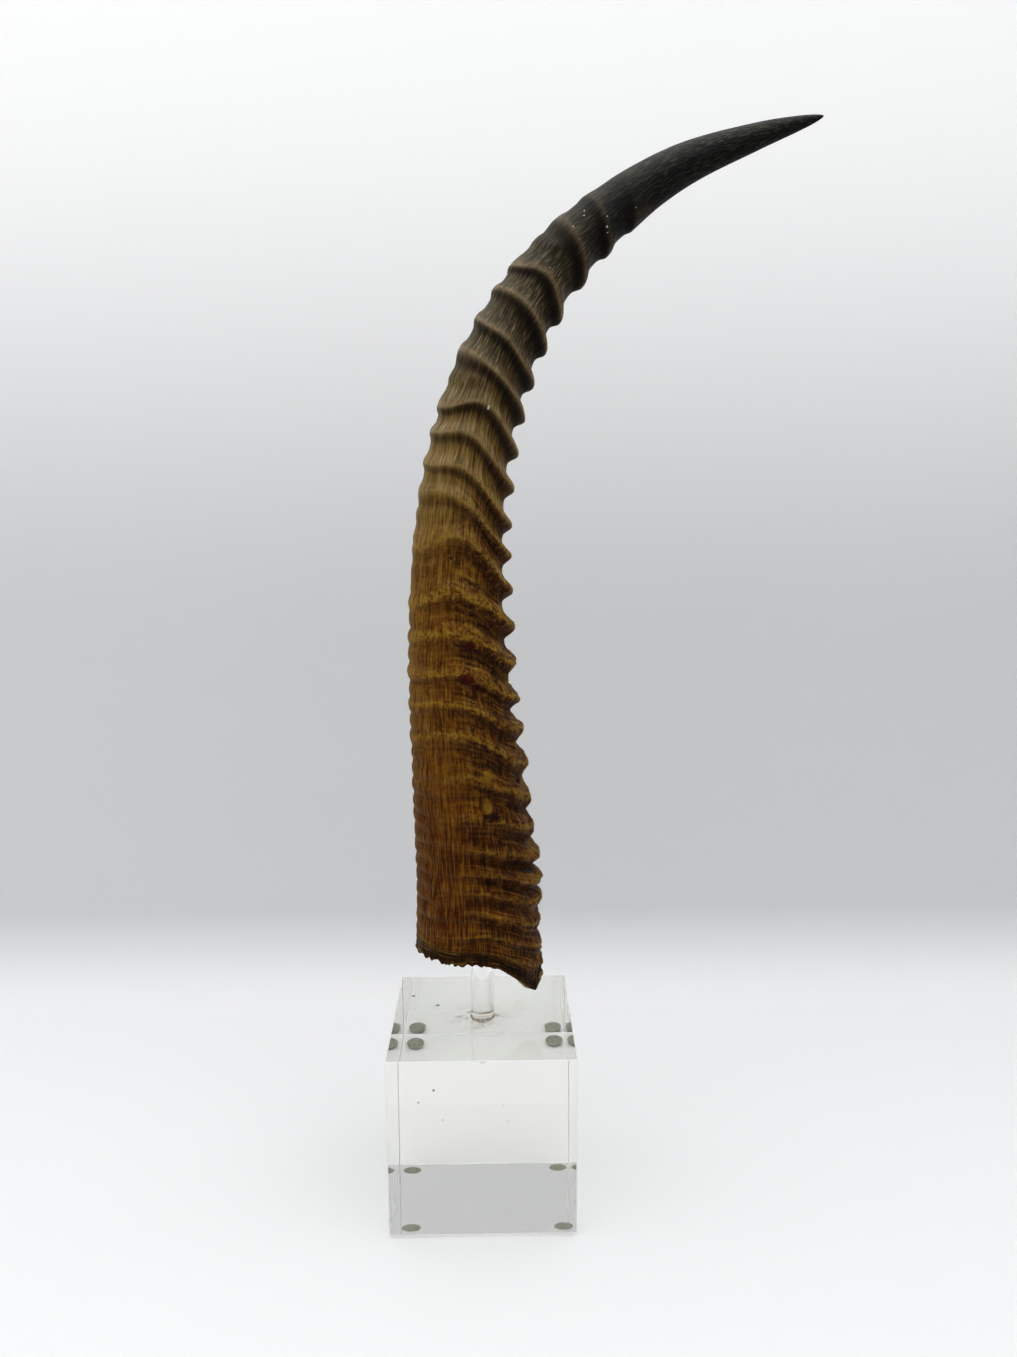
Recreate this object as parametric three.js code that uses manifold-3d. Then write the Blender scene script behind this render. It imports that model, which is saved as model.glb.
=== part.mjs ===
// An impala horn carried on a clear acrylic rod that stands in a clear acrylic block
// on four small round pads. Millimetres, +Z up. The horn bends towards +X.
import * as THREE from 'three';
import { mergeVertices } from 'three/addons/utils/BufferGeometryUtils.js';
import Module from 'manifold-3d';

// Block, rod and pads
const blockWidth = 76.2;
const blockDepth = 78;
const blockHeight = 75;
const blockChamfer = 0.8;
const rodDiameter = 10;
const rodSocketDepth = 11.7;
const drillTipDepth = 3; // the cone that the drill leaves under the socket's floor
const rodTopHeight = 183.7;
const padDiameter = 8;
const padThickness = 1.5;
const fitGap = 0.3;
const roundSides = 48;
const padPlaces = {
  pad_front_left: [-29.5, -31.5],
  pad_front_right: [33, -32],
  pad_back_left: [-32, 32],
  pad_back_right: [33, 33],
};

// Horn: the sheath's centre line above the table, taken from the block's centre
const spinePoints = [
  [-1.7, 0, 88],
  [-2.4, -2, 138],
  [-5.2, -5.5, 188],
  [-7.8, -7, 238],
  [-6.6, -5.5, 283],
  [-1.8, -3, 318],
  [8.8, 1, 351.4],
  [26.6, 6, 382.3],
  [50.2, 10.5, 406.7],
  [80.5, 15, 427.6],
  [113.2, 18.5, 440.9],
  [141, 20, 449.4],
];
const baseRadius = 26.3;
const taperPower = 0.6;
const flare = 0.9; // how far the base edge turns out
const flareLength = 35;
const sectionFlatness = 0.92; // depth over width of the oval section
const wallAtRim = 3.2;
const cavityTopHeight = 186;

// The cut base edge: stations along the centre line on the inside and the outside of the bend.
// It is level round the outside and falls as the cosine of the angle to the inside grows.
const rimInside = 6.3;
const rimOutside = 22.8;
const rimFallStart = 0.25;
const rimFallRange = 0.65;

// Growth rings from the base up. Each row is the ring's station at 0, 45, 90, 135 and 180 degrees
// from the inside of the bend, over the face to the outside, then the height of the half ring that
// lies above it on the outside only.
const growthRings = [
  [14, 21, 28.5, 28, 27, 0],
  [22, 29, 35, 33, 31.5, 0],
  [32.5, 38, 45, 41, 39, 0],
  [40, 47, 54, 50, 46.5, 0.4],
  [51.5, 57, 62.5, 61, 60, 0.4],
  [61.5, 66.5, 72, 73, 73, 0.4],
  [73, 80, 85, 84, 85, 0.4],
  [86.5, 93.5, 101, 98, 97, 0.4],
  [101.5, 108, 118.5, 117, 116, 0.5],
  [115, 120.5, 129.5, 130, 129, 0.5],
  [127.5, 134, 141.5, 142, 141, 0.5],
  [143, 149.5, 157.5, 156, 153, 0.5],
  [158.5, 164.5, 171, 169, 167, 0.7],
  [174, 182, 193, 190.5, 191, 0.7],
  [188, 194.5, 207, 210, 211, 0],
  [200.5, 206.5, 218.5, 219.5, 221.5, 0],
  [216, 221, 232, 231.5, 232.5, 0],
  [231.5, 237, 245, 241, 242, 0.8],
  [246.5, 251.5, 258.5, 262.5, 264, 0],
  [262, 265, 271.5, 274, 277, 0],
  [278, 282, 287, 288.5, 289, 0],
  [293.5, 296.5, 301.5, 299, 299, 1],
  [313, 316.5, 320.5, 323, 323, 0],
  [330, 332, 335, 337, 337, 0],
  [345.5, 348, 350, 351, 351, 0],
];
const ringAngles = 5;

// Ring height along the horn, as [station, inside of the bend, flat face, outside]
const ringHeights = [
  [0, 2.2, 0.6, 0.6],
  [60, 3.4, 0.7, 0.6],
  [190, 3.7, 1.0, 0.6],
  [235, 4.1, 1.5, 1.1],
  [310, 2.6, 1.4, 1.1],
  [350, 0.8, 0.3, 0.1],
  [360, 0, 0, 0],
];
const ringMean = 0.47; // share of the ring's height that lies below the plain taper
const slopeAbove = 0.24; // width of a ring's slopes, as a share of the way to the next ring
const slopeBelow = 0.19;
const knobsEnd = 60; // up to here the rings are round knobs with a sharp notch between them,
const cordsStart = 130; // and from here they are cords with a wide hollow between them
const ringRowPlaces = [0, 0.2, 0.45, 0.78];
const halfRingPlace = 0.55;
const halfRingWidth = 0.1;
const halfRingStart = 0.1; // cosine of the angle at which the half rings begin to rise
const halfRingRange = 0.5;

const aroundCount = 28;
const tipRows = 16;
const tipCrowding = 1.5; // above 1 the rows stand closer together near the tip
const cavityRows = 5;

const spine = new THREE.CatmullRomCurve3(
  spinePoints.map(([x, y, z]) => new THREE.Vector3(x, y, z)),
  false,
  'centripetal',
);
spine.arcLengthDivisions = 600;
const hornLength = spine.getLength();
const towardsFace = new THREE.Vector3(0, -1, 0);

const smooth = (t) => t * t * (3 - 2 * t);
const clamp01 = (t) => Math.min(1, Math.max(0, t));

// Values stated at even steps from the inside of the bend to the outside, at any angle between:
// a sum of cosines that passes through each of them
function aroundHorn(values, angle) {
  const steps = values.length - 1;
  const share = (i) => (i === 0 || i === steps ? 0.5 : 1);
  let sum = 0;
  for (let wave = 0; wave <= steps; wave += 1) {
    const parts = values.map((value, i) => share(i) * value * Math.cos((Math.PI * wave * i) / steps));
    const size = (2 / steps) * parts.reduce((a, b) => a + b);
    sum += share(wave) * size * Math.cos(wave * angle);
  }
  return sum;
}

function rimStation(angle) {
  const inside = smooth(clamp01((Math.cos(angle) - rimFallStart) / rimFallRange));
  return rimOutside + (rimInside - rimOutside) * inside;
}

function ringStation(index, angle) {
  if (index === 0) return rimStation(angle);
  return aroundHorn(growthRings[index - 1].slice(0, ringAngles), angle);
}

function ringHeight(station, angle) {
  const after = Math.max(1, ringHeights.findIndex((row) => row[0] >= station));
  const [low, high] = [ringHeights[after - 1], ringHeights[after]];
  const t = clamp01((station - low[0]) / (high[0] - low[0]));
  return aroundHorn([1, 2, 3].map((i) => low[i] + (high[i] - low[i]) * t), angle);
}

// The ring's outline between one crest, at place 0, and the next one up, at place 1
function ringProfile(place, station) {
  const above = Math.exp(-((place / slopeAbove) ** 2));
  const below = Math.exp(-(((1 - place) / slopeBelow) ** 2));
  const cord = Math.max(above, below);
  const knob = 1 - (2 * Math.min(place, 1 - place)) ** 3;
  const knobShare = smooth(clamp01((cordsStart - station) / (cordsStart - knobsEnd)));
  return cord + (knob - cord) * knobShare;
}

function halfRing(index, place, angle) {
  if (index === 0) return 0;
  const height = growthRings[index - 1][ringAngles];
  const outside = smooth(clamp01((halfRingStart - Math.cos(angle)) / halfRingRange));
  return height * outside * Math.exp(-(((place - halfRingPlace) / halfRingWidth) ** 2));
}

function hornPoint(station, angle, change) {
  const u = clamp01(station / hornLength);
  const tangent = spine.getTangentAt(u);
  const inside = new THREE.Vector3().crossVectors(tangent, towardsFace).normalize();
  const face = new THREE.Vector3().crossVectors(inside, tangent);
  const turnedOut = flare * Math.exp(-((station / flareLength) ** 2));
  const radius = baseRadius * (1 - u) ** taperPower + turnedOut + change;
  return spine
    .getPointAt(u)
    .addScaledVector(inside, radius * Math.cos(angle))
    .addScaledVector(face, radius * sectionFlatness * Math.sin(angle));
}

// Rows of points from the top of the cavity, down its wall, round the rim and up to the tip
function hornRows() {
  const angles = Array.from({ length: aroundCount }, (_, i) => (2 * Math.PI * i) / aroundCount);
  const rows = [];
  const cavityRadius = rodDiameter / 2 + fitGap;
  for (let row = cavityRows; row >= 0; row -= 1) {
    const up = row / cavityRows;
    rows.push(
      angles.map((angle) => {
        const top = new THREE.Vector3(
          cavityRadius * Math.cos(angle),
          -cavityRadius * Math.sin(angle),
          rodTopHeight,
        );
        return hornPoint(rimStation(angle), angle, -wallAtRim).lerp(top, up);
      }),
    );
  }
  for (let ring = 0; ring <= growthRings.length; ring += 1) {
    const last = ring === growthRings.length;
    for (const place of last ? [0] : ringRowPlaces) {
      rows.push(
        angles.map((angle) => {
          const low = ringStation(ring, angle);
          const high = last ? low : ringStation(ring + 1, angle);
          const station = low + (high - low) * place;
          const rise = ringHeight(station, angle) * (ringProfile(place, station) - ringMean);
          return hornPoint(station, angle, rise + halfRing(ring, place, angle));
        }),
      );
    }
  }
  for (let row = 1; row < tipRows; row += 1) {
    const up = 1 - (1 - row / tipRows) ** tipCrowding;
    rows.push(
      angles.map((angle) => {
        const low = ringStation(growthRings.length, angle);
        return hornPoint(low + (hornLength - low) * up, angle, 0);
      }),
    );
  }
  return rows;
}

function makeHorn() {
  const rows = hornRows();
  const points = [new THREE.Vector3(0, 0, cavityTopHeight), ...rows.flat(), spine.getPointAt(1)];
  const vertex = (row, column) => 1 + row * aroundCount + (column % aroundCount);
  const faces = [];
  for (let i = 0; i < aroundCount; i += 1) {
    faces.push(0, vertex(0, i), vertex(0, i + 1));
    for (let row = 0; row < rows.length - 1; row += 1) {
      const [a, b] = [vertex(row, i), vertex(row, i + 1)];
      const [c, d] = [vertex(row + 1, i + 1), vertex(row + 1, i)];
      faces.push(a, d, c, a, c, b);
    }
    faces.push(vertex(rows.length - 1, i), points.length - 1, vertex(rows.length - 1, i + 1));
  }
  const geometry = new THREE.BufferGeometry().setFromPoints(points);
  geometry.setIndex(faces);
  geometry.computeVertexNormals();
  return geometry;
}

const wasm = await Module();
wasm.setup();

function toSolid(geometry) {
  const plain = geometry.clone();
  plain.deleteAttribute('normal');
  plain.deleteAttribute('uv');
  const merged = mergeVertices(plain, 1e-4);
  return new wasm.Manifold(
    new wasm.Mesh({
      numProp: 3,
      vertProperties: new Float32Array(merged.attributes.position.array),
      triVerts: new Uint32Array(merged.index.array),
    }),
  );
}

function toGeometry(solid) {
  const mesh = solid.getMesh();
  const geometry = new THREE.BufferGeometry();
  geometry.setAttribute('position', new THREE.BufferAttribute(mesh.vertProperties, 3));
  geometry.setIndex(new THREE.BufferAttribute(mesh.triVerts, 1));
  geometry.computeVertexNormals();
  return geometry;
}

// An upright cylinder between two heights, or a cone where its lower end is narrower
function cylinder(diameter, low, high, lowDiameter = diameter) {
  const geometry = new THREE.CylinderGeometry(diameter / 2, lowDiameter / 2, high - low, roundSides);
  return geometry.rotateX(Math.PI / 2).translate(0, 0, (low + high) / 2);
}

const blockBottom = padThickness + fitGap;
const blockTop = blockBottom + blockHeight;
const socketBottom = blockTop - rodSocketDepth;

function makeBlock() {
  const [x, y, c] = [blockWidth / 2, blockDepth / 2, blockChamfer];
  const right = [[x - c, -y], [x, c - y], [x, y - c], [x - c, y]];
  const left = right.map(([px, py]) => [-px, -py]);
  const outline = new THREE.Shape([...right, ...left].map(([px, py]) => new THREE.Vector2(px, py)));
  const body = new THREE.ExtrudeGeometry(outline, {
    depth: blockHeight - 2 * c,
    bevelSegments: 1,
    bevelThickness: c,
    bevelSize: c,
    bevelOffset: -c,
  }).translate(0, 0, blockBottom + c);
  const socket = cylinder(rodDiameter + 2 * fitGap, socketBottom, blockTop + 1);
  const drillTip = cylinder(rodDiameter, socketBottom - drillTipDepth, socketBottom + 0.1, 0);
  return toGeometry(toSolid(body).subtract(toSolid(socket)).subtract(toSolid(drillTip)));
}

const hornFinish = new THREE.MeshStandardMaterial({ color: 0x5a3d22, roughness: 0.55, metalness: 0 });
const acrylicFinish = new THREE.MeshStandardMaterial({
  color: 0xf2f6f4,
  roughness: 0.05,
  metalness: 0,
  transparent: true,
  opacity: 0.35,
});
const padFinish = new THREE.MeshStandardMaterial({ color: 0x6f7069, roughness: 0.9, metalness: 0 });

function part(name, geometry, material) {
  const mesh = new THREE.Mesh(geometry, material);
  mesh.name = name;
  return mesh;
}

const hornOnStand = new THREE.Group();
hornOnStand.add(part('horn', makeHorn(), hornFinish));
hornOnStand.add(part('rod', cylinder(rodDiameter, socketBottom + fitGap, rodTopHeight), acrylicFinish));
hornOnStand.add(part('block', makeBlock(), acrylicFinish));
for (const [name, [x, y]] of Object.entries(padPlaces)) {
  const pad = part(name, cylinder(padDiameter, 0, padThickness), padFinish);
  pad.position.set(x, y, 0);
  hornOnStand.add(pad);
}

// The origin is on the table, under the middle of the whole object
const size = new THREE.Box3().setFromObject(hornOnStand);
hornOnStand.position.set(-(size.min.x + size.max.x) / 2, -(size.min.y + size.max.y) / 2, -size.min.z);

export default hornOnStand;
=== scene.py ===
import math

import bmesh
import bpy
import numpy as np
from mathutils import Matrix, Vector


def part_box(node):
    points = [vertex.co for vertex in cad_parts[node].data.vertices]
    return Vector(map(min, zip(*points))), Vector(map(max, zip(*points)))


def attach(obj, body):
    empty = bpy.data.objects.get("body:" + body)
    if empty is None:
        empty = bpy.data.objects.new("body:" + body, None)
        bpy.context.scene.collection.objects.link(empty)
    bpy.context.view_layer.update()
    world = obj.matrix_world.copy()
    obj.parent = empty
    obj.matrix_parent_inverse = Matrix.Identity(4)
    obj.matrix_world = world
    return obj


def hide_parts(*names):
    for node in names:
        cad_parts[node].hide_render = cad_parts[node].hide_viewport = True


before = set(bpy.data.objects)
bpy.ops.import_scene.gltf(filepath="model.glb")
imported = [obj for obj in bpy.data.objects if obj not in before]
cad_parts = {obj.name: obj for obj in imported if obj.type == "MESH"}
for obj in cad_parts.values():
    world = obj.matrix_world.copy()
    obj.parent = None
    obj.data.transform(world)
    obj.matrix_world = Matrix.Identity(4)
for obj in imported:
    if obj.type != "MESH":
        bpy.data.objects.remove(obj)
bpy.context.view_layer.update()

# An impala horn on a clear acrylic rod, in a clear acrylic block on four round pads.
# Lengths in the dictionaries are millimetres, and mm turns them into Blender's metres.
mm = 0.001
blockLow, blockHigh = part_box("block")
rodLow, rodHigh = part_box("rod")
blockCentre = (blockLow + blockHigh) / 2
scene = bpy.context.scene
print("frame loaded, block centre", [round(v / mm, 2) for v in blockCentre])


# Node maths, for materials and for Geometry Nodes alike

class Wire:
    def __init__(self, graph, socket):
        self.graph, self.socket = graph, socket

    def out(self, name):
        return Wire(self.graph, self.socket.node.outputs[name])

    def math(self, operation, *others):
        return self.graph.add("ShaderNodeMath", {"operation": operation}, dict(enumerate([self, *others])))

    def __add__(self, other):
        return self.math("ADD", other)

    def __radd__(self, other):
        return self.math("ADD", other)

    def __sub__(self, other):
        return self.math("SUBTRACT", other)

    def __rsub__(self, other):
        return self.graph.add("ShaderNodeMath", {"operation": "SUBTRACT"}, {0: other, 1: self})

    def __mul__(self, other):
        return self.math("MULTIPLY", other)

    def __rmul__(self, other):
        return self.math("MULTIPLY", other)

    def __truediv__(self, other):
        return self.math("DIVIDE", other)

    def __pow__(self, other):
        return self.math("POWER", other)

    def __lt__(self, other):
        return self.math("LESS_THAN", other)

    def __gt__(self, other):
        return self.math("GREATER_THAN", other)

    def abs(self):
        return self.math("ABSOLUTE")

    def least(self, other):
        return self.math("MINIMUM", other)

    def most(self, other):
        return self.math("MAXIMUM", other)

    def fraction(self):
        return self.math("FRACT")

    def bell(self, width, power=2.0):
        return (-1 * (self / width) ** power).math("EXPONENT")

    def ease(self, low, high):
        values = {"Value": self, "From Min": low, "From Max": high}
        return self.graph.add("ShaderNodeMapRange", {"interpolation_type": "SMOOTHSTEP"}, values)

    def vector(self, operation, *others):
        values = dict(enumerate([self, *others]))
        return self.graph.add("ShaderNodeVectorMath", {"operation": operation}, values)

    def stretched(self, x, y, z):
        return self.vector("MULTIPLY", (x, y, z))

    def scaled(self, amount):
        return self.graph.add("ShaderNodeVectorMath", {"operation": "SCALE"}, {0: self, "Scale": amount})

    def noise(self, detail=2.0, roughness=0.5):
        values = {"Vector": self, "Scale": 1.0, "Detail": detail, "Roughness": roughness}
        return self.graph.add("ShaderNodeTexNoise", {}, values)


class Graph:
    def __init__(self, tree):
        self.tree = tree

    def add(self, kind, settings=None, values=None, output=0):
        node = self.tree.nodes.new(kind)
        for name, value in (settings or {}).items():
            setattr(node, name, value)
        for name, value in (values or {}).items():
            if isinstance(value, Wire):
                self.tree.links.new(value.socket, node.inputs[name])
            else:
                node.inputs[name].default_value = value
        return Wire(self, node.outputs[output]) if len(node.outputs) else node

    def own(self, name, output="Fac"):
        return self.add("ShaderNodeAttribute", {"attribute_name": name}, output=output)

    def blend(self, factor, first, second):
        return self.add("ShaderNodeMix", {"data_type": "RGBA"}, {0: factor, 6: first, 7: second}, output=2)

    def xyz(self, vector):
        x = self.add("ShaderNodeSeparateXYZ", {}, {"Vector": vector})
        return x, x.out("Y"), x.out("Z")


def newMaterial(name):
    material = bpy.data.materials.new(name)
    material.use_nodes = True
    material.node_tree.nodes.clear()
    return material, Graph(material.node_tree)


def meshObject(name, mesh, material, smoothAngle=None):
    made = bpy.data.objects.new(name, mesh)
    scene.collection.objects.link(made)
    mesh.materials.clear()
    mesh.materials.append(material)
    if smoothAngle is not None:
        mesh.shade_smooth()
        mesh.set_sharp_from_angle(angle=math.radians(smoothAngle))
    return made


# Camera

view = {
    "place": (6.7, -417.0, 283.3),  # from the middle of the block's footprint, and above the table
    "focalPixels": 1019,
    "longSide": 1357,
    "pitch": 8.09,
    "yaw": 0.75,
    "roll": -0.35,
}


def makeCamera():
    pitch, yaw, roll = (math.radians(view[name]) for name in ("pitch", "yaw", "roll"))
    ahead = Vector((math.sin(yaw) * math.cos(pitch), math.cos(yaw) * math.cos(pitch), -math.sin(pitch)))
    level = Vector((math.cos(yaw), -math.sin(yaw), 0))
    upright = level.cross(ahead)
    right = level * math.cos(roll) + upright * math.sin(roll)
    up = upright * math.cos(roll) - level * math.sin(roll)
    data = bpy.data.cameras.new("camera")
    data.sensor_width = 36
    data.lens = data.sensor_width * view["focalPixels"] / view["longSide"]
    data.clip_start, data.clip_end = 0.01, 20
    camera = bpy.data.objects.new("camera", data)
    scene.collection.objects.link(camera)
    turn = Matrix((right, up, -ahead)).transposed().to_4x4()
    place = Vector((blockCentre.x, blockCentre.y, 0)) + Vector(view["place"]) * mm
    camera.matrix_world = Matrix.Translation(place) @ turn
    scene.camera = camera


makeCamera()
print("camera placed")


# Horn sheath: a smooth loft in numpy, then Geometry Nodes raise the rings and fibres on it

horn = {
    "spine": [  # centre line above the table, from the middle of the block's footprint
        (-1.7, 0, 88), (-2.4, -2, 138), (-5.2, -5.5, 188), (-7.8, -7, 238),
        (-6.6, -5.5, 283), (-1.8, -3, 318), (8.8, 1, 351.4), (26.6, 6, 382.3),
        (50.2, 10.5, 406.7), (80.5, 15, 427.6), (113.2, 18.5, 440.9), (141, 20, 449.4),
    ],
    "baseRadius": 26.3, "taperPower": 0.6, "flare": 0.9, "flareLength": 35, "flatness": 0.92,
    "rimInside": 6.3, "rimOutside": 22.8, "rimFallRange": 0.86, "rimFallPower": 2.1, "rimDip": 0.12,
    "wallAtRim": 3.2, "hollowTop": 186, "hollowTopRadius": 5.3,
    # stations of each growth ring at 0, 45, 90, 135 and 180 degrees from the inside of the bend,
    # then the height of the half ring above it on the outside
    "rings": [
        (14, 21, 28.5, 28, 27, 0), (22, 29, 35, 33, 31.5, 0), (32.5, 38, 45, 41, 39, 0),
        (42.5, 47.5, 54, 50, 46.5, 0), (50.2, 56.5, 62.5, 61, 60, 0), (61.3, 66.5, 72, 73, 73, 0),
        (73, 80, 85, 84, 85, 0), (86.5, 93.5, 101, 98, 97, 0), (101.5, 108, 118.5, 117, 116, 0),
        (115, 120.5, 129.5, 130, 129, 0), (127.5, 134, 141.5, 142, 141, 0),
        (143, 149.5, 157.5, 156, 153, 0), (158.5, 164.5, 171, 169, 167, 0.5),
        (174, 182, 193, 190.5, 191, 0.8), (188, 194.5, 207, 210, 211, 0),
        (200.5, 206.5, 218.5, 219.5, 221.5, 0), (216, 221, 232, 231.5, 232.5, 0),
        (231.5, 237, 245, 241, 242, 1), (246.5, 251.5, 258.5, 262.5, 264, 0),
        (262, 265, 271.5, 274, 277, 0), (278, 282, 287, 288.5, 289, 0),
        (293.5, 296.5, 301.5, 299, 299, 1), (313, 316.5, 320.5, 323, 323, 0),
        (330, 332, 335, 337, 337, 0), (345.5, 348, 350, 351, 351, 0),
    ],
    # ring height at a station, on the inside of the bend, the face and the outside
    "ringHeights": [
        (0, 2.3, 0.8, 0.3), (34, 2.8, 0.95, 0.3), (43, 6.6, 1.1, 0.3), (52, 7.0, 1.1, 0.3),
        (58, 7.4, 1.1, 0.3), (67, 7.0, 1.1, 0.3), (76, 4.6, 1.0, 0.3), (190, 3.7, 1.3, 0.7),
        (235, 4.1, 1.7, 1.5), (310, 2.8, 1.4, 1.4), (350, 0.8, 0.3, 0.1), (360, 0, 0, 0),
    ],
    # share of their height that the lowest rings lose between the inside of the bend and the face
    "flankLoss": 0.5, "flankMiddle": 0.72, "flankWidth": 0.2, "flankFade": (70, 100),
    "aroundCount": 216, "rowsPerRing": 14, "tipRows": 56, "hollowRows": 14, "rimRows": 4,
    "crestCrowding": 0.08, "tipCrowding": 1.6,
}

ringInputs = {
    "Ring Mean": 0.5,
    "Slope Above": 0.27,
    "Slope Below": 0.21,
    "Knobs End": 68.0,
    "Cords Start": 130.0,
    "Knob Roundness": 1.8,
    "Wander": 0.3,
    "Ripple Height": 0.85,
    "Ripple Spacing": 6.6,
    "Fibre Height": 0.22,
    "Wrinkle Height": 0.9,
    "Lump Height": 1.8,
    "Knobble Height": 2.4,
    "Rim Layer Height": 1.1,
    "Tooth Height": 1.3,
    "Seed": 7,
}


def curveThrough(points, perSpan=60):
    points = np.array(points, float)
    ends = np.vstack([2 * points[0] - points[1], points, 2 * points[-1] - points[-2]])
    line = []
    for p0, p1, p2, p3 in zip(ends, ends[1:], ends[2:], ends[3:]):
        d0, d1, d2 = (math.sqrt(np.linalg.norm(b - a)) for a, b in ((p0, p1), (p1, p2), (p2, p3)))
        slope1 = ((p1 - p0) / d0 - (p2 - p0) / (d0 + d1) + (p2 - p1) / d1) * d1
        slope2 = ((p2 - p1) / d1 - (p3 - p1) / (d1 + d2) + (p3 - p2) / d2) * d1
        t = np.linspace(0, 1, perSpan, endpoint=False)[:, None]
        bend, twist = 3 * (p2 - p1) - 2 * slope1 - slope2, 2 * (p1 - p2) + slope1 + slope2
        line.append(p1 + slope1 * t + bend * t ** 2 + twist * t ** 3)
    return np.vstack(line + [points[-1:]])


def easeStep(t):
    t = np.clip(t, 0, 1)
    return t * t * (3 - 2 * t)


def aroundHorn(values, angle):  # a sum of cosines through values at even steps from inside to outside
    steps = len(values) - 1
    share = np.ones(steps + 1)
    share[[0, -1]] = 0.5
    total = 0
    for wave in range(steps + 1):
        turn = math.pi * wave / steps
        size = 2 / steps * sum(share[i] * v * math.cos(turn * i) for i, v in enumerate(values))
        total = total + share[wave] * size * np.cos(wave * angle)
    return total


def rimStation(angle):
    reach, share = np.cos(angle), horn["rimFallRange"]
    fall = np.clip(reach / share, 0, 1)
    inside = fall ** horn["rimFallPower"] - horn["rimDip"] * easeStep((reach - share) / (1 - share))
    return horn["rimOutside"] + (horn["rimInside"] - horn["rimOutside"]) * inside


def ringStation(index, angle):
    return rimStation(angle) if index == 0 else aroundHorn(horn["rings"][index - 1][:5], angle)


spineLine = curveThrough(horn["spine"])
spineStations = np.r_[0, np.cumsum(np.linalg.norm(np.diff(spineLine, axis=0), axis=1))]
spineTangents = np.gradient(spineLine, spineStations, axis=0)
hornLength = spineStations[-1]


def onSpine(station, table):
    return np.stack([np.interp(station, spineStations, table[:, i]) for i in range(3)], -1)


def plainRadius(station):
    turnedOut = horn["flare"] * np.exp(-(station / horn["flareLength"]) ** 2)
    return horn["baseRadius"] * (1 - np.clip(station / hornLength, 0, 1)) ** horn["taperPower"] + turnedOut


def hornPoints(station, angle, change):
    tangent = onSpine(station, spineTangents)
    tangent /= np.linalg.norm(tangent, axis=-1, keepdims=True)
    inside = np.cross(tangent, (0, -1, 0))
    inside /= np.linalg.norm(inside, axis=-1, keepdims=True)
    face = np.cross(inside, tangent)
    cosine, sine = np.cos(angle)[:, None], np.sin(angle)[:, None]
    radius = (plainRadius(station) + change)[:, None]
    points = onSpine(station, spineLine) + radius * (inside * cosine + face * sine * horn["flatness"])
    outward = inside * cosine * horn["flatness"] + face * sine
    return points, outward / np.linalg.norm(outward, axis=-1, keepdims=True), tangent


def hornRows():
    count = horn["aroundCount"]
    angle = np.linspace(0, 2 * math.pi, count, endpoint=False)
    rim = rimStation(angle)
    heights = np.array(horn["ringHeights"], float)
    fadeStart, fadeEnd = horn["flankFade"]
    rows = []

    def addRow(points, outward, upward, station, ring, skin, halfRise=0.0):
        rise = aroundHorn([np.interp(station, heights[:, 0], heights[:, i]) for i in (1, 2, 3)], angle)
        flank = np.exp(-((np.cos(angle) - horn["flankMiddle"]) / horn["flankWidth"]) ** 2)
        flank = flank * (1 - easeStep((station - fadeStart) / (fadeEnd - fadeStart)))
        rise = rise * (1 - horn["flankLoss"] * flank)
        radius = plainRadius(station)
        straight = np.stack([radius * np.cos(angle), radius * np.sin(angle), station], -1)
        rows.append({
            "points": points, "outward": outward, "upward": upward, "straight": straight,
            "ring": np.full(count, float(ring)), "rise": rise, "halfRise": np.full(count, halfRise),
            "aboveRim": station - rim, "skin": np.full(count, float(skin)), "bend": np.cos(angle),
        })

    edge, edgeOut, edgeUp = hornPoints(rim, angle, -horn["wallAtRim"])
    top = np.stack([np.cos(angle), -np.sin(angle), 0 * angle], -1) * horn["hollowTopRadius"]
    top[:, 2] = rodHigh.z / mm
    for up in np.linspace(1, 0, horn["hollowRows"], endpoint=False):
        addRow(edge + (top - edge) * up, -edgeOut, edgeUp, rim + up * 60, 0, 0)
    for across in np.arange(horn["rimRows"]) / horn["rimRows"]:
        points, outward, upward = hornPoints(rim, angle, -horn["wallAtRim"] * (1 - across))
        addRow(points, outward, upward, rim, 0, across ** 2)
    for ring in range(len(horn["rings"])):
        low, high = ringStation(ring, angle), ringStation(ring + 1, angle)
        halfRise = 0
        if ring > 0:
            halfRise = horn["rings"][ring - 1][5] * easeStep((0.1 - np.cos(angle)) / 0.5)
        for step in np.arange(horn["rowsPerRing"]) / horn["rowsPerRing"]:
            # rows stand closer at the crests
            place = step - horn["crestCrowding"] * math.sin(2 * math.pi * step)
            station = low + (high - low) * place
            addRow(*hornPoints(station, angle, 0), station, ring + place, 1, halfRise)
    low = ringStation(len(horn["rings"]), angle)
    for step in np.arange(horn["tipRows"]) / horn["tipRows"]:
        station = low + (hornLength - low) * (1 - (1 - step) ** horn["tipCrowding"])
        addRow(*hornPoints(station, angle, 0), station, len(horn["rings"]) + step * 0.5, 1)
    return rows


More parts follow.
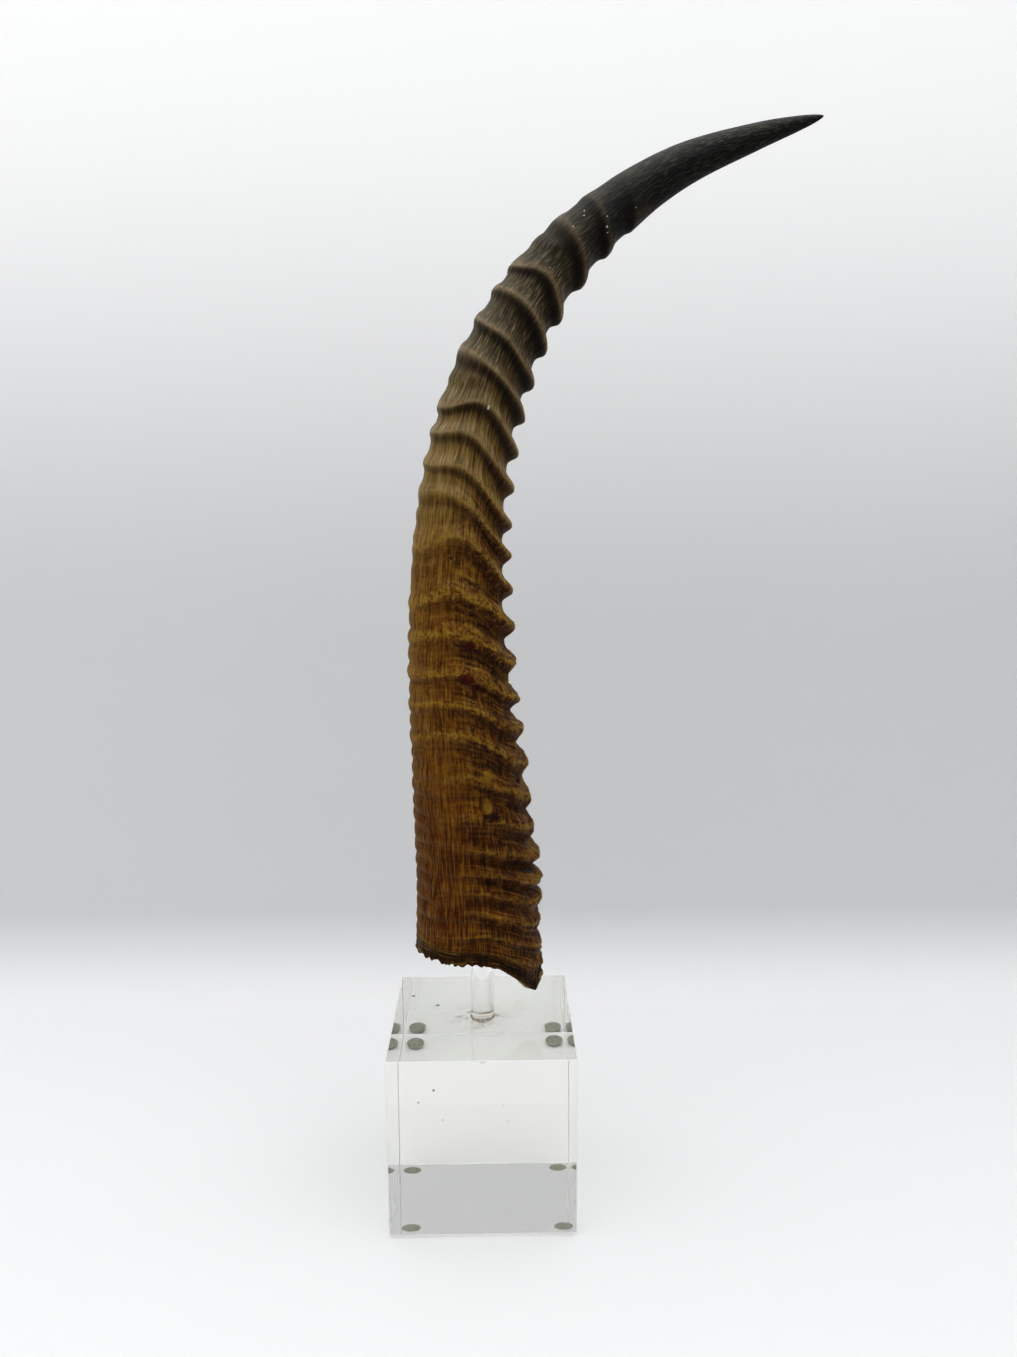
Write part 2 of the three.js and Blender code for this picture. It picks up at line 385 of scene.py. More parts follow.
def hornMesh(rows):
    count = horn["aroundCount"]
    names = [name for name in rows[0] if name != "points"]
    points = np.concatenate([row["points"] for row in rows])
    apex, tip = np.array([[0, 0, horn["hollowTop"]]]), spineLine[-1:]
    points = np.concatenate([points, apex, tip]) * mm
    points[:, 0] += blockCentre.x
    points[:, 1] += blockCentre.y
    index = np.arange(len(rows) * count).reshape(len(rows), count)
    after = np.roll(index, -1, axis=1)
    quads = np.stack([index[:-1], index[1:], after[1:], after[:-1]], -1).reshape(-1, 4)
    apexIndex, tipIndex = len(points) - 2, len(points) - 1
    fans = [(apexIndex, a, b) for a, b in zip(index[0], after[0])]
    fans += [(a, tipIndex, b) for a, b in zip(index[-1], after[-1])]
    mesh = bpy.data.meshes.new("hornLoft")
    mesh.from_pydata(points.tolist(), [], quads.tolist() + fans)
    for name in names:
        values = np.concatenate([row[name] for row in rows])
        values = np.concatenate([values, values[:1] * 0, values[-1:]])
        kind, key = ("FLOAT_VECTOR", "vector") if values.ndim == 2 else ("FLOAT", "value")
        attribute = mesh.attributes.new(name, kind, "POINT")
        attribute.data.foreach_set(key, values.ravel())
    mesh.polygons.foreach_set("use_smooth", [True] * len(mesh.polygons))
    mesh.update()
    return mesh


def hornTree(material):
    tree = bpy.data.node_groups.new("hornSkin", "GeometryNodeTree")
    tree.interface.new_socket("Geometry", in_out="INPUT", socket_type="NodeSocketGeometry")
    tree.interface.new_socket("Geometry", in_out="OUTPUT", socket_type="NodeSocketGeometry")
    identifiers = {}
    for name, value in ringInputs.items():
        kind = "NodeSocketInt" if isinstance(value, int) else "NodeSocketFloat"
        identifiers[name] = tree.interface.new_socket(name, in_out="INPUT", socket_type=kind).identifier
    graph = Graph(tree)
    group = graph.add("NodeGroupInput")
    given = {name: group.out(name) for name in ringInputs}

    def own(name, kind="FLOAT"):
        return graph.add("GeometryNodeInputNamedAttribute", {"data_type": kind}, {"Name": name})

    ring, rise, skin, bend = own("ring"), own("rise"), own("skin"), own("bend")
    aboveRim, halfRise = own("aboveRim"), own("halfRise")
    outward, upward = own("outward", "FLOAT_VECTOR"), own("upward", "FLOAT_VECTOR")
    shift = graph.add("ShaderNodeCombineXYZ", {}, {0: given["Seed"] * 31.7, 1: given["Seed"] * 17.3})
    unshifted = own("straight", "FLOAT_VECTOR")
    station = graph.xyz(unshifted)[2]
    straight = unshifted.vector("ADD", shift)
    x, y = graph.xyz(straight)[:2]

    def layered(around, along):
        return graph.add("ShaderNodeCombineXYZ", {}, {0: x * around, 1: y * around, 2: along}).noise(2)

    knobs = 1 - station.ease(given["Knobs End"], given["Cords Start"])
    low = 1 - station.ease(150, 215)
    inner = bend.ease(-0.4, 0.5)

    # growth rings: cords with a wide hollow above Cords Start, round knobs with a notch below Knobs End
    wander = (straight.stretched(0.07, 0.07, 0.05).noise(2) - 0.5) * given["Wander"] * (0.3 + low)
    ringPlace = ring + wander
    place = ringPlace.fraction()
    above, below = place, 1 - place
    cord = above.bell(given["Slope Above"], 2.7).most(below.bell(given["Slope Below"], 2.7))
    knob = 1 - (2 * above.least(below)) ** (given["Knob Roundness"] + station.ease(66, 80) * 0.8)
    profile = cord + (knob - cord) * knobs
    uneven = 1 + (straight.stretched(0.09, 0.09, 0.07).noise(2) - 0.5) * (0.5 + low * 1.4)
    height = rise * uneven * (profile - given["Ring Mean"])
    height = height + halfRise * (place - 0.55).bell(0.1)

    # fine ripples on the outside of the bend, below the strong rings
    warp = (straight.stretched(0.08, 0.08, 0.08).noise(1) - 0.5) * 3.5
    ripple = ((station + warp) * math.pi / given["Ripple Spacing"]).math("SINE").abs()
    reach = (-1 * bend).ease(-0.05, 0.9)
    relief = (ripple - 0.6) * given["Ripple Height"] * reach * low * station.ease(20, 45)

    # lumps, cross wrinkles and fibres
    lump = straight.stretched(0.12, 0.12, 0.17).noise(2) - 0.5
    relief = relief + lump * given["Lump Height"] * low * (0.35 + inner)
    knobble = straight.stretched(0.28, 0.28, 0.27).noise(4, 0.65) - 0.5
    relief = relief + knobble * given["Knobble Height"] * low * (0.25 + inner * (0.3 + profile * 0.6))
    relief = relief + (layered(0.09, ringPlace * 8) - 0.5) * given["Wrinkle Height"] * low * (0.5 + inner)
    fibre = straight.stretched(0.55, 0.55, 0.06).noise(1) - 0.5
    rib = straight.stretched(0.25, 0.25, 0.025).noise(1) - 0.5
    fade = (1 - station.ease(300, 430)) * (1 - cord * 0.5)
    relief = relief + (fibre + rib) * given["Fibre Height"] * (0.3 + fade)

    # the frayed edge at the base
    nearRim = aboveRim.bell(8)
    relief = relief + (layered(0.12, aboveRim * 0.9) - 0.55) * given["Rim Layer Height"] * nearRim
    tooth = straight.stretched(0.42, 0.42, 0.02).noise(3, 0.6).ease(0.4, 0.62) - 0.4
    drop = tooth * given["Tooth Height"] * aboveRim.bell(2) * (0.3 + (-1 * bend).ease(-0.5, 0.3))

    offset = outward.scaled((height + relief) * skin * mm)
    offset = offset.vector("ADD", upward.scaled(drop * mm))
    moved = graph.add("GeometryNodeSetPosition", {}, {"Geometry": group, "Offset": offset})
    shown = rise.ease(0, 1.2)
    kept = {
        "crest": profile * shown * skin,
        # under marks the band just below each crest, which the material darkens as painted shade
        "under": (below - 0.2).bell(0.16) * (1 - knobs * 0.4) * shown * skin,
        "relief": relief * skin,
        "ringPlace": ringPlace,
    }
    stored = {"data_type": "FLOAT", "domain": "POINT"}
    for name, value in kept.items():
        values = {"Geometry": moved, "Name": name, "Value": value}
        moved = graph.add("GeometryNodeStoreNamedAttribute", stored, values)
    real = graph.add("GeometryNodeRealizeInstances", {}, {"Geometry": moved})
    finished = graph.add("GeometryNodeSetMaterial", {}, {"Geometry": real, "Material": material})
    graph.add("NodeGroupOutput", {}, {"Geometry": finished})
    return tree, identifiers


def plainMeshOf(source, name, material):  # the evaluated mesh of an object, without its modifiers
    shown = source.evaluated_get(bpy.context.evaluated_depsgraph_get())
    mesh = bpy.data.meshes.new_from_object(shown)
    bpy.data.objects.remove(source)
    mesh.name = name
    return meshObject(name, mesh, material)


keratin = {
    "root": (0.116, 0.043, 0.0014, 1),
    "lower": (0.190, 0.096, 0.017, 1),
    "middle": (0.225, 0.150, 0.056, 1),
    "upper": (0.074, 0.057, 0.031, 1),
    "tip": (0.021, 0.0245, 0.0235, 1),
    # painted light: a lighter grey for the upper, outer side of the tip
    "tipPaintedLight": (0.05, 0.049, 0.043, 1),
    "ochre": (0.235, 0.114, 0.008, 1),
    "redBrown": (0.048, 0.012, 0.002, 1),
    "fibreLower": (0.34, 0.215, 0.060, 1),
    "fibreUpper": (0.30, 0.25, 0.165, 1),
    "dark": (0.010, 0.006, 0.002, 1),
    "crestLower": (0.34, 0.215, 0.050, 1),
    "crestUpper": (0.27, 0.205, 0.125, 1),
    "hollow": (0.20, 0.13, 0.055, 1),
}
zones = {  # stations between which each of these comes in or fades away
    "lower": (50, 165), "middle": (165, 225), "upper": (215, 275), "tip": (285, 345),
    "low": (165, 250), "calm": (85, 125), "fine": (215, 290), "redBrown": (100, 165),
    "stripes": (240, 300), "crust": (20, 60), "flecks": (60, 150),
}
grains = {  # noise cells per millimetre in x, y and along the horn, then detail and roughness
    "fibre": (1.5, 1.5, 0.08, 2, 0.55),
    "fine": (2.3, 2.3, 0.15, 3, 0.6),
    "strand": (0.8, 0.8, 0.045, 2, 0.5),
    "blotch": (0.07, 0.07, 0.05, 3, 0.6),
    "patch": (0.15, 0.15, 0.13, 3, 0.6),
    "ragged": (0.45, 0.45, 0.4, 3, 0.65),
    "speck": (1.1, 1.1, 0.55, 3, 0.7),
    "crust": (0.75, 0.75, 0.7, 4, 0.7),
}
marks = [  # colour and strength, then station, angle from the inside of the bend, half width, half height
    ((0.075, 0.005, 0.004, 1), 0.85, [(152.5, 76, 2.6, 1.7), (140, 80, 3.4, 2.2), (136, 73, 2.6, 1.8)]),
    ((0.022, 0.004, 0.002, 1), 0.8, [(85, 67, 4.2, 2.2)]),
    ((0.27, 0.175, 0.035, 1), 0.65, [(101, 68, 2.9, 2.4), (90, 70, 2.4, 2.8), (156, 80, 1.6, 1.4)]),
    # a pit drawn as a near-black spot, with no hollow in the mesh: painted shade
    ((0.004, 0.003, 0.003, 1), 0.9, [(185.5, 98, 0.45, 0.7)]),
    # painted glints: tiny white highlights, mostly on the upper rings
    ((0.75, 0.72, 0.66, 1), 0.8, [
        (333, 65, 0.5, 0.5), (335.5, 80, 0.25, 0.45), (332, 56, 0.2, 0.6), (330.5, 120, 0.25, 0.4),
        (329, 112, 0.25, 0.35), (322.5, 108, 0.3, 0.3), (348, 56, 0.2, 0.3), (304, 88, 0.35, 0.3),
        (243.5, 79, 0.4, 0.9),
    ]),
]


def keratinMaterial():
    material, graph = newMaterial("keratin")
    straight = graph.own("straight", "Vector")
    x, y, station = graph.xyz(straight)
    crest, under, skin, relief = (graph.own(name) for name in ("crest", "under", "skin", "relief"))
    bend, aboveRim, ringPlace = (graph.own(name) for name in ("bend", "aboveRim", "ringPlace"))
    place = ringPlace.fraction()

    def zone(name):
        return station.ease(*zones[name])

    def grained(name):
        *scale, detail, roughness = grains[name]
        return straight.stretched(*scale).noise(detail, roughness)

    def banded(around, along):
        return graph.add("ShaderNodeCombineXYZ", {}, {0: x * around, 1: y * around, 2: along}).noise(3, 0.6)

    low, calm, tip = 1 - zone("low"), 1 - zone("calm"), zone("tip")
    inner = bend.ease(-0.4, 0.45)
    rimBand = 1 - aboveRim.ease(3, 10)
    fibre, strand, blotch, patch = (grained(name) for name in ("fibre", "strand", "blotch", "patch"))
    ragged, speck, crust = (grained(name) for name in ("ragged", "speck", "crust"))
    fibre = fibre + (grained("fine") - fibre) * zone("fine")
    layer, rimLayer = banded(0.06, ringPlace * 9), banded(0.08, aboveRim * 0.9)

    colour = keratin["root"]
    for name in ("lower", "middle", "upper", "tip"):
        colour = graph.blend(zone(name), colour, keratin[name])
    # painted light: the outside of the bend near the tip, its upper side, is made lighter as if lit from
    # above
    colour = graph.blend((-1 * bend).ease(-0.2, 0.4) * tip * 0.45, colour, keratin["tipPaintedLight"])
    colour = graph.blend(blotch.ease(0.5, 0.7) * low * 0.5, colour, keratin["ochre"])
    colour = graph.blend(bend.ease(0.1, 0.8) * (0.5 - zone("redBrown") * 0.45), colour, keratin["redBrown"])
    colour = graph.blend(patch.ease(0.48, 0.62) * low * (0.15 + inner * 0.5), colour, keratin["redBrown"])

    torn = (1 - ragged.ease(0.36, 0.5)) * low * (0.2 + inner * (0.35 - calm * 0.15))
    colour = graph.blend(torn, colour, keratin["redBrown"])
    colour = graph.blend(ragged.ease(0.54, 0.68) * low * 0.35, colour, keratin["ochre"])

    pale = graph.blend(low, keratin["fibreUpper"], keratin["fibreLower"])
    strength = 0.7 - zone("stripes") * 0.12 - tip * 0.4 - low * 0.3
    stripes = fibre.ease(0.5, 0.64) * (1.15 - place * 0.6) * strength
    colour = graph.blend(stripes, colour, pale)
    grooves = (1 - fibre.ease(0.36, 0.5)) * (0.55 - low * 0.1 - tip * 0.25)
    colour = graph.blend(grooves, colour, keratin["dark"])
    seams = (1 - strand.ease(0.36, 0.5)) * (0.4 - low * 0.15 - tip * 0.3)
    colour = graph.blend(seams, colour, keratin["dark"])
    layered = low * (0.2 + inner * 0.8) * (1 - calm * 0.3)
    colour = graph.blend(layer.ease(0.52, 0.64) * layered * 0.5, colour, keratin["crestLower"])
    colour = graph.blend((1 - layer.ease(0.36, 0.48)) * layered * 0.7, colour, keratin["dark"])
    # painted shade in the sunken relief, and painted highlight on the raised relief low on the horn
    colour = graph.blend((-1 * relief).ease(0.1, 0.9) * 0.5, colour, keratin["dark"])
    colour = graph.blend(relief.ease(0.3, 1.2) * 0.3 * low, colour, keratin["crestLower"])

    # a lighter line along each crest: partly wear, partly painted highlight
    crestColour = graph.blend(low, keratin["crestUpper"], keratin["crestLower"])
    crestWearAndHighlight = place.least(1 - place).bell(0.1 + low * 0.02) * crest.ease(0, 0.5)
    crestWearAndHighlight = crestWearAndHighlight * (0.75 - tip * 0.6 - low * 0.1 - calm * (0.5 - inner * 0.4))
    crestWearAndHighlight = crestWearAndHighlight * (ragged * 0.6 + crust).ease(0.35 + low * 0.22, 0.96)
    colour = graph.blend(crestWearAndHighlight, colour, crestColour)
    # painted shade in the band below each crest; it is red-brown low on the inside of the bend, where it is
    # partly stain
    shade = graph.blend(low * inner, keratin["dark"], keratin["redBrown"])
    shaded = under * (0.65 + bend * 0.2 - low * (0.22 - bend * 0.2) - calm * 0.15)
    colour = graph.blend(shaded, colour, shade)
    crusty = low * (0.35 + inner * 0.65) * zone("crust")
    pits = (1 - crust.ease(0.36, 0.5)) * crusty * (0.5 - calm * 0.15)
    colour = graph.blend(pits, colour, keratin["redBrown"])
    # light flecks: speckle in the horn, plus painted highlight where they gather on the crests
    flecks = crust.ease(0.52, 0.64) * low * zone("flecks") * (0.25 + crest * 0.35)
    colour = graph.blend(flecks, colour, keratin["fibreLower"])
    colour = graph.blend((rimBand * (0.4 + speck * 0.6)).least(0.85), colour, keratin["dark"])
    colour = graph.blend(rimLayer.ease(0.52, 0.64) * rimBand * 0.6, colour, keratin["crestLower"])
    for markColour, strength, spots in marks:
        mask = 0
        for height, degrees, across, tall in spots:
            radius, angle = float(plainRadius(np.float64(height))), math.radians(degrees)
            away = straight.vector("SUBTRACT", (radius * math.cos(angle), radius * math.sin(angle), height))
            away = away.stretched(1 / across, 1 / across, 1 / tall)
            distance = graph.add("ShaderNodeVectorMath", {"operation": "LENGTH"}, {0: away}, output="Value")
            mask = 1 - (distance + (ragged - 0.5) * 2.4).ease(0.5, 1.2) + mask
        colour = graph.blend(mask.least(1) * strength, colour, markColour)
    colour = graph.blend(1 - skin, colour, keratin["hollow"])

    roughness = 0.5 + (speck - 0.5) * 0.3 - crest * 0.06
    grain = fibre * 1.1 + speck * 0.5 + layer * layered * 1.2
    grain = grain + rimLayer * rimBand * 2 + crust * crusty * 1.6
    bump = graph.add("ShaderNodeBump", {}, {"Strength": 0.8, "Distance": 0.5 * mm, "Height": grain})
    shader = graph.add("ShaderNodeBsdfPrincipled", {}, {
        "Base Color": colour, "Roughness": roughness, "Normal": bump,
        "IOR": 1.54, "Specular IOR Level": 0.2,
    })
    graph.add("ShaderNodeOutputMaterial", {}, {"Surface": shader})
    return material


def makeHorn():
    material = keratinMaterial()
    loft = meshObject("hornLoft", hornMesh(hornRows()), material)
    modifier = loft.modifiers.new("hornSkin", "NODES")
    modifier.node_group, identifiers = hornTree(material)
    for name, value in ringInputs.items():
        modifier[identifiers[name]] = value
    made = plainMeshOf(loft, "horn_sheath", material)
    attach(made, "root")
    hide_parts("horn")
    print("horn sheath:", len(made.data.polygons), "faces")


makeHorn()


# Clear stand: block, rod, and the bead of cement round the rod's foot

stand = {
    "roundSides": 96, "rodEdge": 0.3, "rodRoughness": 0.03,
    "bevel": 0.24, "bevelRoughness": 0.5, "frosted": 0.5, "frost": (0.92, 0.93, 0.92, 1),
    "ior": 1.49, "tint": (1, 1, 1, 1), "lightThrough": 0.97,
    "absorbed": (0.90, 0.925, 0.80, 1), "absorption": 3.0,
    "cementGap": 0.3, "drillTip": 3.0, "coneShown": 0.2, "slack": 0.02,
    "beadRadius": 5.5, "beadHeight": 0.35,
    "cement": (0.98, 0.98, 0.975, 1), "haze": (0.55, 0.49, 0.43, 1),
    # the glue's strength, even and in streaks, round the rod's foot and on the block's top
    "footHeight": 3.6, "footStain": (0.42, 0.45), "smearRadius": 13, "smearStain": (0.08, 1.2),
    "glue": (0.11, 0.07, 0.045, 1), "dust": (0.03, 0.025, 0.02, 1),
    # grains of dust on the front and on the top, from the middle of the block's footprint, and their radius
    "specks": [
        (-19.1, -39, 64.6, 0.7), (-25.3, -39, 59.4, 0.5), (-15.6, -39, 51.9, 0.35), (8.4, -39, 57.7, 0.3),
        (10.5, -39, 50.9, 0.35), (-31.4, 19.1, 76.8, 1.3), (-20, 9.7, 76.8, 1.4),
    ],
}
rodRadius = (rodHigh.x - rodLow.x) / 2 / mm
socketRadius = rodRadius + stand["cementGap"]
socketBottom = rodLow.z / mm - stand["cementGap"]
blockTop = blockHigh.z / mm


def acrylicMaterial(name, smeared):
    material, graph = newMaterial(name)
    place = graph.add("ShaderNodeTexCoord", output="Object")
    moved = place.vector("SUBTRACT", (blockCentre.x, blockCentre.y, 0)).scaled(1 / mm)
    x, y, z = graph.xyz(moved)
    radius = (x * x + y * y) ** 0.5
    # cement fills the joint, so the faces inside it bend no light; under the rod is the drill's hollow cone
    aboveDrill = z > socketBottom - stand["drillTip"] - 1
    joined = (radius < stand["beadRadius"]) * (z < blockTop + stand["slack"])
    joined = joined.most((radius < socketRadius) * (z < blockTop + stand["beadHeight"] * 0.8)) * aboveDrill
    cone = (z < socketBottom - stand["slack"]) * (radius < rodRadius - 0.05) * aboveDrill
    matched = joined * (1 - cone * stand["coneShown"])
    shadow = graph.add("ShaderNodeLightPath", output="Is Shadow Ray")
    alpha = 1 - shadow * stand["lightThrough"]  # clear plastic lets the light onto the table
    cloud = moved.stretched(0.16, 0.3, 0.3).noise(3, 0.6)
    tint = stand["tint"]
    if smeared:
        normal = graph.add("ShaderNodeNewGeometry", output="True Normal")
        across, along, upward = graph.xyz(normal.vector("ABSOLUTE"))
        slant = (across.most(along).most(upward) < 0.9) * (radius > socketRadius + 1)
        near = radius.bell(stand["smearRadius"]) * (z > blockTop - 0.05)
        smear = moved.stretched(0.12, 0.5, 1).noise(3, 0.65).ease(0.35, 0.5) * near
        roughness = slant * stand["bevelRoughness"]
        frosted = slant * stand["frosted"]
        even, streaked = stand["smearStain"]
        stain = smear * (even + ((smear * 2 + cloud * 6).fraction() - 0.5).bell(0.2) * streaked)
        for px, py, pz, reach in stand["specks"]:
            away = moved.vector("SUBTRACT", (px, py, pz))
            distance = graph.add("ShaderNodeVectorMath", {"operation": "LENGTH"}, {0: away}, output="Value")
            tint = graph.blend(1 - distance.ease(reach * 0.4, reach), tint, stand["dust"])
    else:
        level = z - blockTop
        foot = (1 - level.ease(0.5, 1.8)) * level.ease(-stand["footHeight"], 0.5 - stand["footHeight"])
        roughness = stand["rodRoughness"]
        even, streaked = stand["footStain"]
        stain = foot * (even + ((cloud * 5 + z * 0.6).fraction() - 0.5).bell(0.18) * streaked)
    tint = graph.blend(stain, tint, stand["glue"])
    shader = graph.add("ShaderNodeBsdfPrincipled", {}, {
        "Base Color": tint, "Roughness": roughness, "IOR": stand["ior"],
        "Transmission Weight": 1.0, "Alpha": alpha,
    })
    volume = graph.add("ShaderNodeVolumeAbsorption", {}, {
        "Color": stand["absorbed"], "Density": stand["absorption"],
    })
    if smeared:
        frost = graph.add("ShaderNodeBsdfDiffuse", {}, {"Color": stand["frost"]})
        shader = graph.add("ShaderNodeMixShader", {}, {0: frosted, 1: shader, 2: frost})
    cement = graph.add("ShaderNodeBsdfTransparent", {}, {"Color": stand["cement"]})
    if not smeared:
        haze = graph.add("ShaderNodeBsdfTransparent", {}, {"Color": stand["haze"]})
        cement = graph.add("ShaderNodeMixShader", {}, {0: stain, 1: cement, 2: haze})
    shader = graph.add("ShaderNodeMixShader", {}, {0: matched, 1: shader, 2: cement})
    graph.add("ShaderNodeOutputMaterial", {}, {"Surface": shader, "Volume": volume})
    return material


def spun(name, profile, sides, closed=False):  # turns a list of (radius, height) round the rod's axis
    rows = np.array(profile, float)
    angle = np.linspace(0, 2 * math.pi, sides, endpoint=False)
    points, index = [], []
    for radius, height in rows:
        if radius == 0:
            index.append([len(points)] * sides)
            points.append((0, 0, height))
        else:
            index.append(list(range(len(points), len(points) + sides)))
            points += [(radius * math.cos(a), radius * math.sin(a), height) for a in angle]
    faces = []
    pairs = list(zip(index, index[1:])) + ([(index[-1], index[0])] if closed else [])
    for low, high in pairs:
        for i in range(sides):
            corners = (low[i], low[(i + 1) % sides], high[(i + 1) % sides], high[i])
            faces.append(tuple(dict.fromkeys(corners)))
    mesh = bpy.data.meshes.new(name)
    mesh.from_pydata(points, [], faces)
    return mesh


def placed(mesh, x, y):
    mesh.transform(Matrix.Translation((x, y, 0)) @ Matrix.Scale(mm, 4))
    return mesh


def cutBy(target, cutter, name, material, smoothAngle):
    modifier = target.modifiers.new("cut", "BOOLEAN")
    modifier.object, modifier.operation, modifier.solver = cutter, "DIFFERENCE", "EXACT"
    made = plainMeshOf(target, name, material)
    bpy.data.objects.remove(cutter)
    made.data.shade_smooth()
    made.data.set_sharp_from_angle(angle=math.radians(smoothAngle))
    return made


def makeBlock():
    material = acrylicMaterial("blockAcrylic", smeared=True)
    bm = bmesh.new()
    bmesh.ops.create_cube(bm, size=1)
    bmesh.ops.scale(bm, vec=blockHigh - blockLow, verts=bm.verts)
    bmesh.ops.translate(bm, vec=blockCentre, verts=bm.verts)
    bmesh.ops.bevel(bm, geom=bm.edges[:], offset=stand["bevel"] * mm, segments=1, affect="EDGES")
    mesh = bpy.data.meshes.new("blockBody")
    bm.to_mesh(mesh)
    bm.free()
    body = meshObject("blockBody", mesh, material)
    above = blockTop + 5
    cut = [(0, socketBottom - stand["drillTip"]), (rodRadius - 0.17, socketBottom),
           (socketRadius, socketBottom), (socketRadius, above), (0, above)]
    mesh = placed(spun("socketCut", cut, stand["roundSides"]), blockCentre.x, blockCentre.y)
    cutter = meshObject("socketCut", mesh, material)
    made = cutBy(body, cutter, "block_acrylic", material, smoothAngle=12)
    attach(made, "root")
    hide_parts("block")


def makeRod():
    material = acrylicMaterial("rodAcrylic", smeared=False)
    radius, edge = rodRadius, stand["rodEdge"]
    low, high = rodLow.z / mm, rodHigh.z / mm
    profile = [(0, low), (radius - edge, low), (radius, low + edge), (radius, high - edge),
               (radius - edge, high), (0, high)]
    mesh = placed(spun("rod_acrylic", profile, stand["roundSides"]), blockCentre.x, blockCentre.y)
    rod = meshObject("rod_acrylic", mesh, material, smoothAngle=30)
    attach(rod, "root")
    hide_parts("rod")
    outside, rise = stand["beadRadius"], stand["beadHeight"]
    profile = [(radius, blockTop)]
    for turn in np.linspace(0, math.pi / 2, 9):
        reach = (outside - radius) * math.sin(turn)
        profile.append((outside - reach, blockTop + rise * (1 - math.cos(turn))))
    bead = spun("cement_bead", profile, stand["roundSides"], closed=True)
    bead = meshObject("cement_bead", placed(bead, blockCentre.x, blockCentre.y), material, smoothAngle=50)
    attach(bead, "root")


makeBlock()
makeRod()
print("clear stand made")


# Pads: soft discs that touch the block, so they are seen through it

pads = {
    "nodes": ["pad_front_left", "pad_front_right", "pad_back_left", "pad_back_right"],
    "edge": 0.2, "footShare": 0.78, "contact": 0.35, "sides": 64,
    "colour": (0.21, 0.21, 0.17, 1), "dust": (0.33, 0.33, 0.28, 1),
}


def padMaterial():
    material, graph = newMaterial("padFoam")
    place = graph.add("ShaderNodeTexCoord", output="Object").scaled(1 / mm)
    grain = place.scaled(2.2).noise(3, 0.7)
    cloud = place.scaled(0.5).noise(2)
    colour = graph.blend((grain * 0.5 + cloud * 0.5).ease(0.4, 0.65), pads["colour"], pads["dust"])
    bump = graph.add("ShaderNodeBump", {}, {"Strength": 0.5, "Distance": 0.1 * mm, "Height": grain})
    values = {"Base Color": colour, "Roughness": 0.85, "Normal": bump}
    shader = graph.add("ShaderNodeBsdfPrincipled", {}, values)
    graph.add("ShaderNodeOutputMaterial", {}, {"Surface": shader})
    return material


def makePads():
    material = padMaterial()
    for node in pads["nodes"]:
        low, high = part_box(node)
        middle, radius, edge = (low + high) / 2, (high.x - low.x) / 2 / mm, pads["edge"]
        top = high.z / mm + pads["contact"]
        foot = radius * pads["footShare"]
        profile = [(0, 0), (foot - edge, 0), (foot - edge * 0.4, edge * 0.3)]
        for t in (0.1, 0.3, 0.6, 1):  # the side, from the foot out to the full radius
            profile.append((foot + (radius - foot) * t ** 0.5, edge + (top - 2 * edge) * t))
        for t in (0.6, 1.1):  # the rounded upper edge
            profile.append((radius - edge + edge * math.cos(t), top - edge + edge * math.sin(t)))
        profile += [(radius - edge, top), (radius * 0.5, top), (0, top)]
        mesh = placed(spun(node + "_disc", profile, pads["sides"]), middle.x, middle.y)
        disc = meshObject(node + "_disc", mesh, material, smoothAngle=40)
        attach(disc, "root")
        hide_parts(node)
    print("pads made")


makePads()


# Stage: one pale sheet that sweeps from the table up behind the object, and soft light from above

stage = {
    "sweepStart": 165, "sweepRadius": 45, "wallHeight": 1900, "halfWidth": 1700, "front": -520,
    "floor": (0.775, 0.775, 0.777, 1),
    "wallLow": (0.725, 0.728, 0.735, 1), "wallHigh": (0.96, 0.96, 0.96, 1),
    "wallGlow": (0.15, 0.15, 0.15, 1),
    "toe": [(0.04, 0.014), (0.12, 0.085), (0.30, 0.285), (0.6, 0.6)],
}


def stageMaterial():
    material, graph = newMaterial("paleSheet")
    z = graph.xyz(graph.add("ShaderNodeTexCoord", output="Object").scaled(1 / mm))[2]
    # painted light: the wall is darker low down, lighter higher up and glows from 230 mm up, as the light
    # from above falls on it
    colour = graph.blend(z.ease(200, 600), stage["wallLow"], stage["wallHigh"])
    colour = graph.blend(z.ease(0, 30), stage["floor"], colour)
    glow = graph.blend(z.ease(230, 540), (0, 0, 0, 1), stage["wallGlow"])
    sheet = graph.add("ShaderNodeBsdfPrincipled", {}, {
        "Base Color": colour, "Roughness": 1.0, "Specular IOR Level": 0.0,
        "Emission Color": glow, "Emission Strength": 1.0,
    })
    clear = graph.add("ShaderNodeBsdfTransparent")
    behind = graph.add("ShaderNodeNewGeometry", output="Backfacing")
    shader = graph.add("ShaderNodeMixShader", {}, {0: behind, 1: sheet, 2: clear})
    graph.add("ShaderNodeOutputMaterial", {}, {"Surface": shader})
    return material


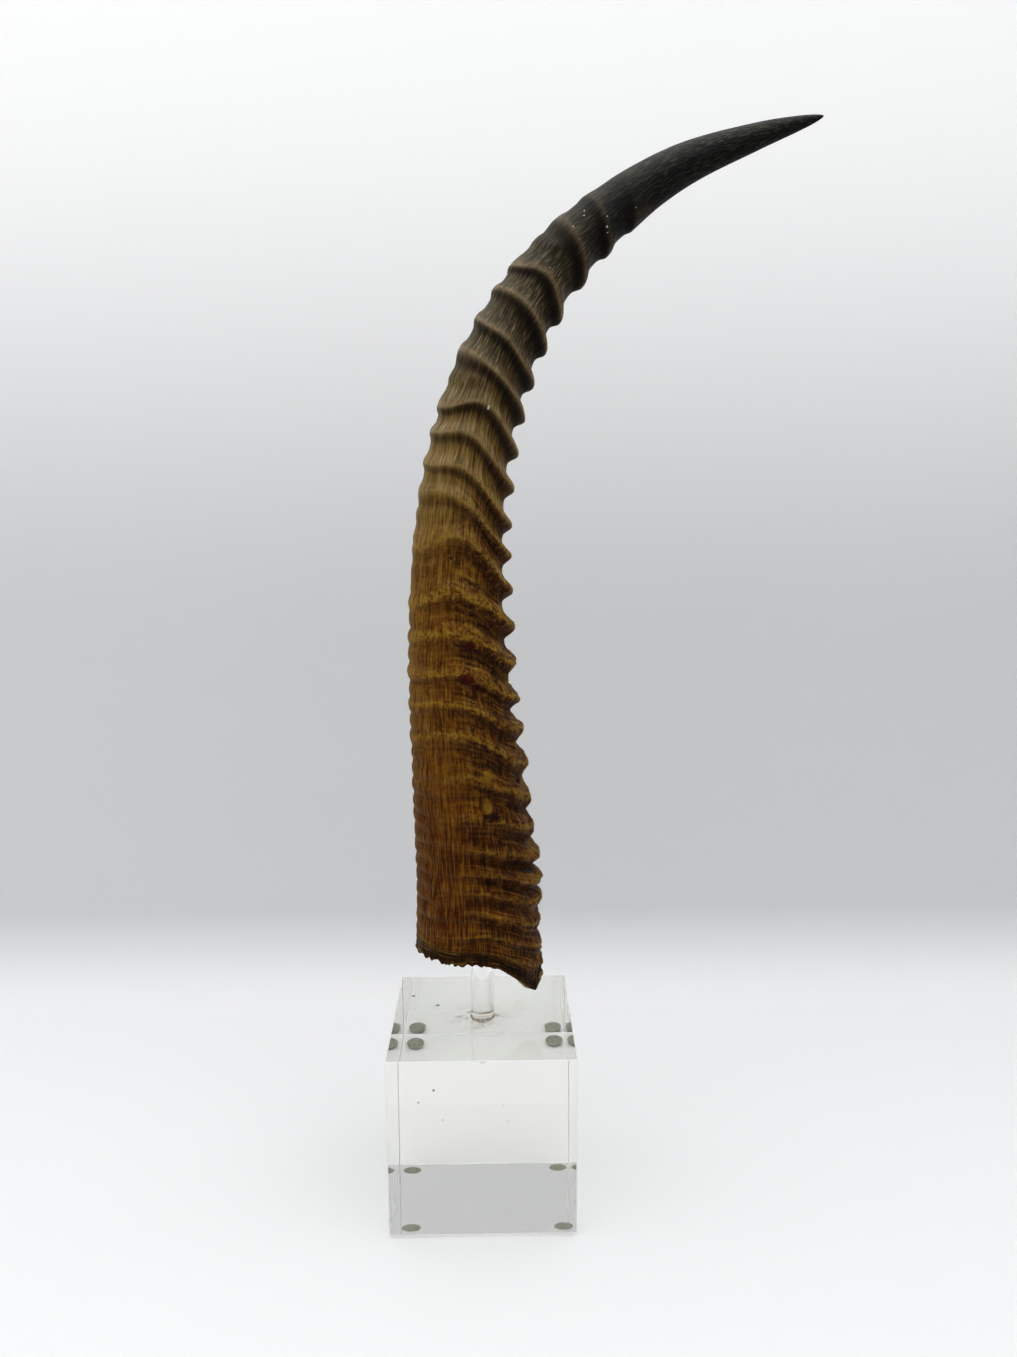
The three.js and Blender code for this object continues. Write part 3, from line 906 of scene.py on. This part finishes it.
def makeStage():
    start, radius = stage["sweepStart"], stage["sweepRadius"]
    profile = [(stage["front"], 0)]
    for turn in np.linspace(0, math.pi / 2, 17):
        profile.append((start + radius * math.sin(turn), radius * (1 - math.cos(turn))))
    profile.append((start + radius, stage["wallHeight"]))
    points = [(side * stage["halfWidth"] * mm + blockCentre.x, y * mm + blockCentre.y, z * mm)
              for y, z in profile for side in (-1, 1)]
    faces = [(2 * i, 2 * i + 1, 2 * i + 3, 2 * i + 2) for i in range(len(profile) - 1)]
    mesh = bpy.data.meshes.new("stage_sheet")
    mesh.from_pydata(points, [], faces)
    mesh.shade_smooth()
    sheet = meshObject("stage_sheet", mesh, stageMaterial())


lights = {
    "top": {"place": (0, 0, 1150), "size": (2000, 1700), "watts": 20.0, "aim": (0, 0, 0)},
    "left": {"place": (-800, -300, 700), "size": (600, 600), "watts": 0.7, "aim": (0, 0, 200)},
}


def makeLights():
    for name, light in lights.items():
        data = bpy.data.lights.new(name + "Light", "AREA")
        data.shape = "RECTANGLE"
        data.size, data.size_y = (side * mm for side in light["size"])
        data.energy = light["watts"]
        lamp = bpy.data.objects.new(name + "Light", data)
        scene.collection.objects.link(lamp)
        place, aim = Vector(light["place"]) * mm, Vector(light["aim"]) * mm
        middle = Vector((blockCentre.x, blockCentre.y, 0))
        lamp.location = middle + place
        lamp.rotation_euler = (aim - place).to_track_quat("-Z", "Y").to_euler()
        lamp.visible_camera = False
    world = bpy.data.worlds.new("studio")
    world.use_nodes = True
    world.node_tree.nodes.clear()
    graph = Graph(world.node_tree)
    y, z = graph.xyz(graph.add("ShaderNodeTexCoord", output="Generated"))[1:]
    seen = graph.add("ShaderNodeLightPath", output="Is Camera Ray")
    strength = (0.12 + y.ease(-0.6, 0.2) * 0.5).most(z.ease(0.1, 0.9) * 0.8)
    strength = strength + (0.8 - strength) * seen
    air = graph.add("ShaderNodeBackground", {}, {"Color": (0.96, 0.98, 1.0, 1), "Strength": strength})
    graph.add("ShaderNodeOutputWorld", {}, {"Surface": air})
    scene.world = world


def gradeView():  # a plain toe curve, as a phone's picture has
    settings = scene.view_settings
    settings.view_transform = "Standard"
    settings.use_curve_mapping = True
    for x, y in stage["toe"]:
        settings.curve_mapping.curves[3].points.new(x, y)
    settings.curve_mapping.update()


makeStage()
makeLights()
gradeView()
print("stage and lights made")
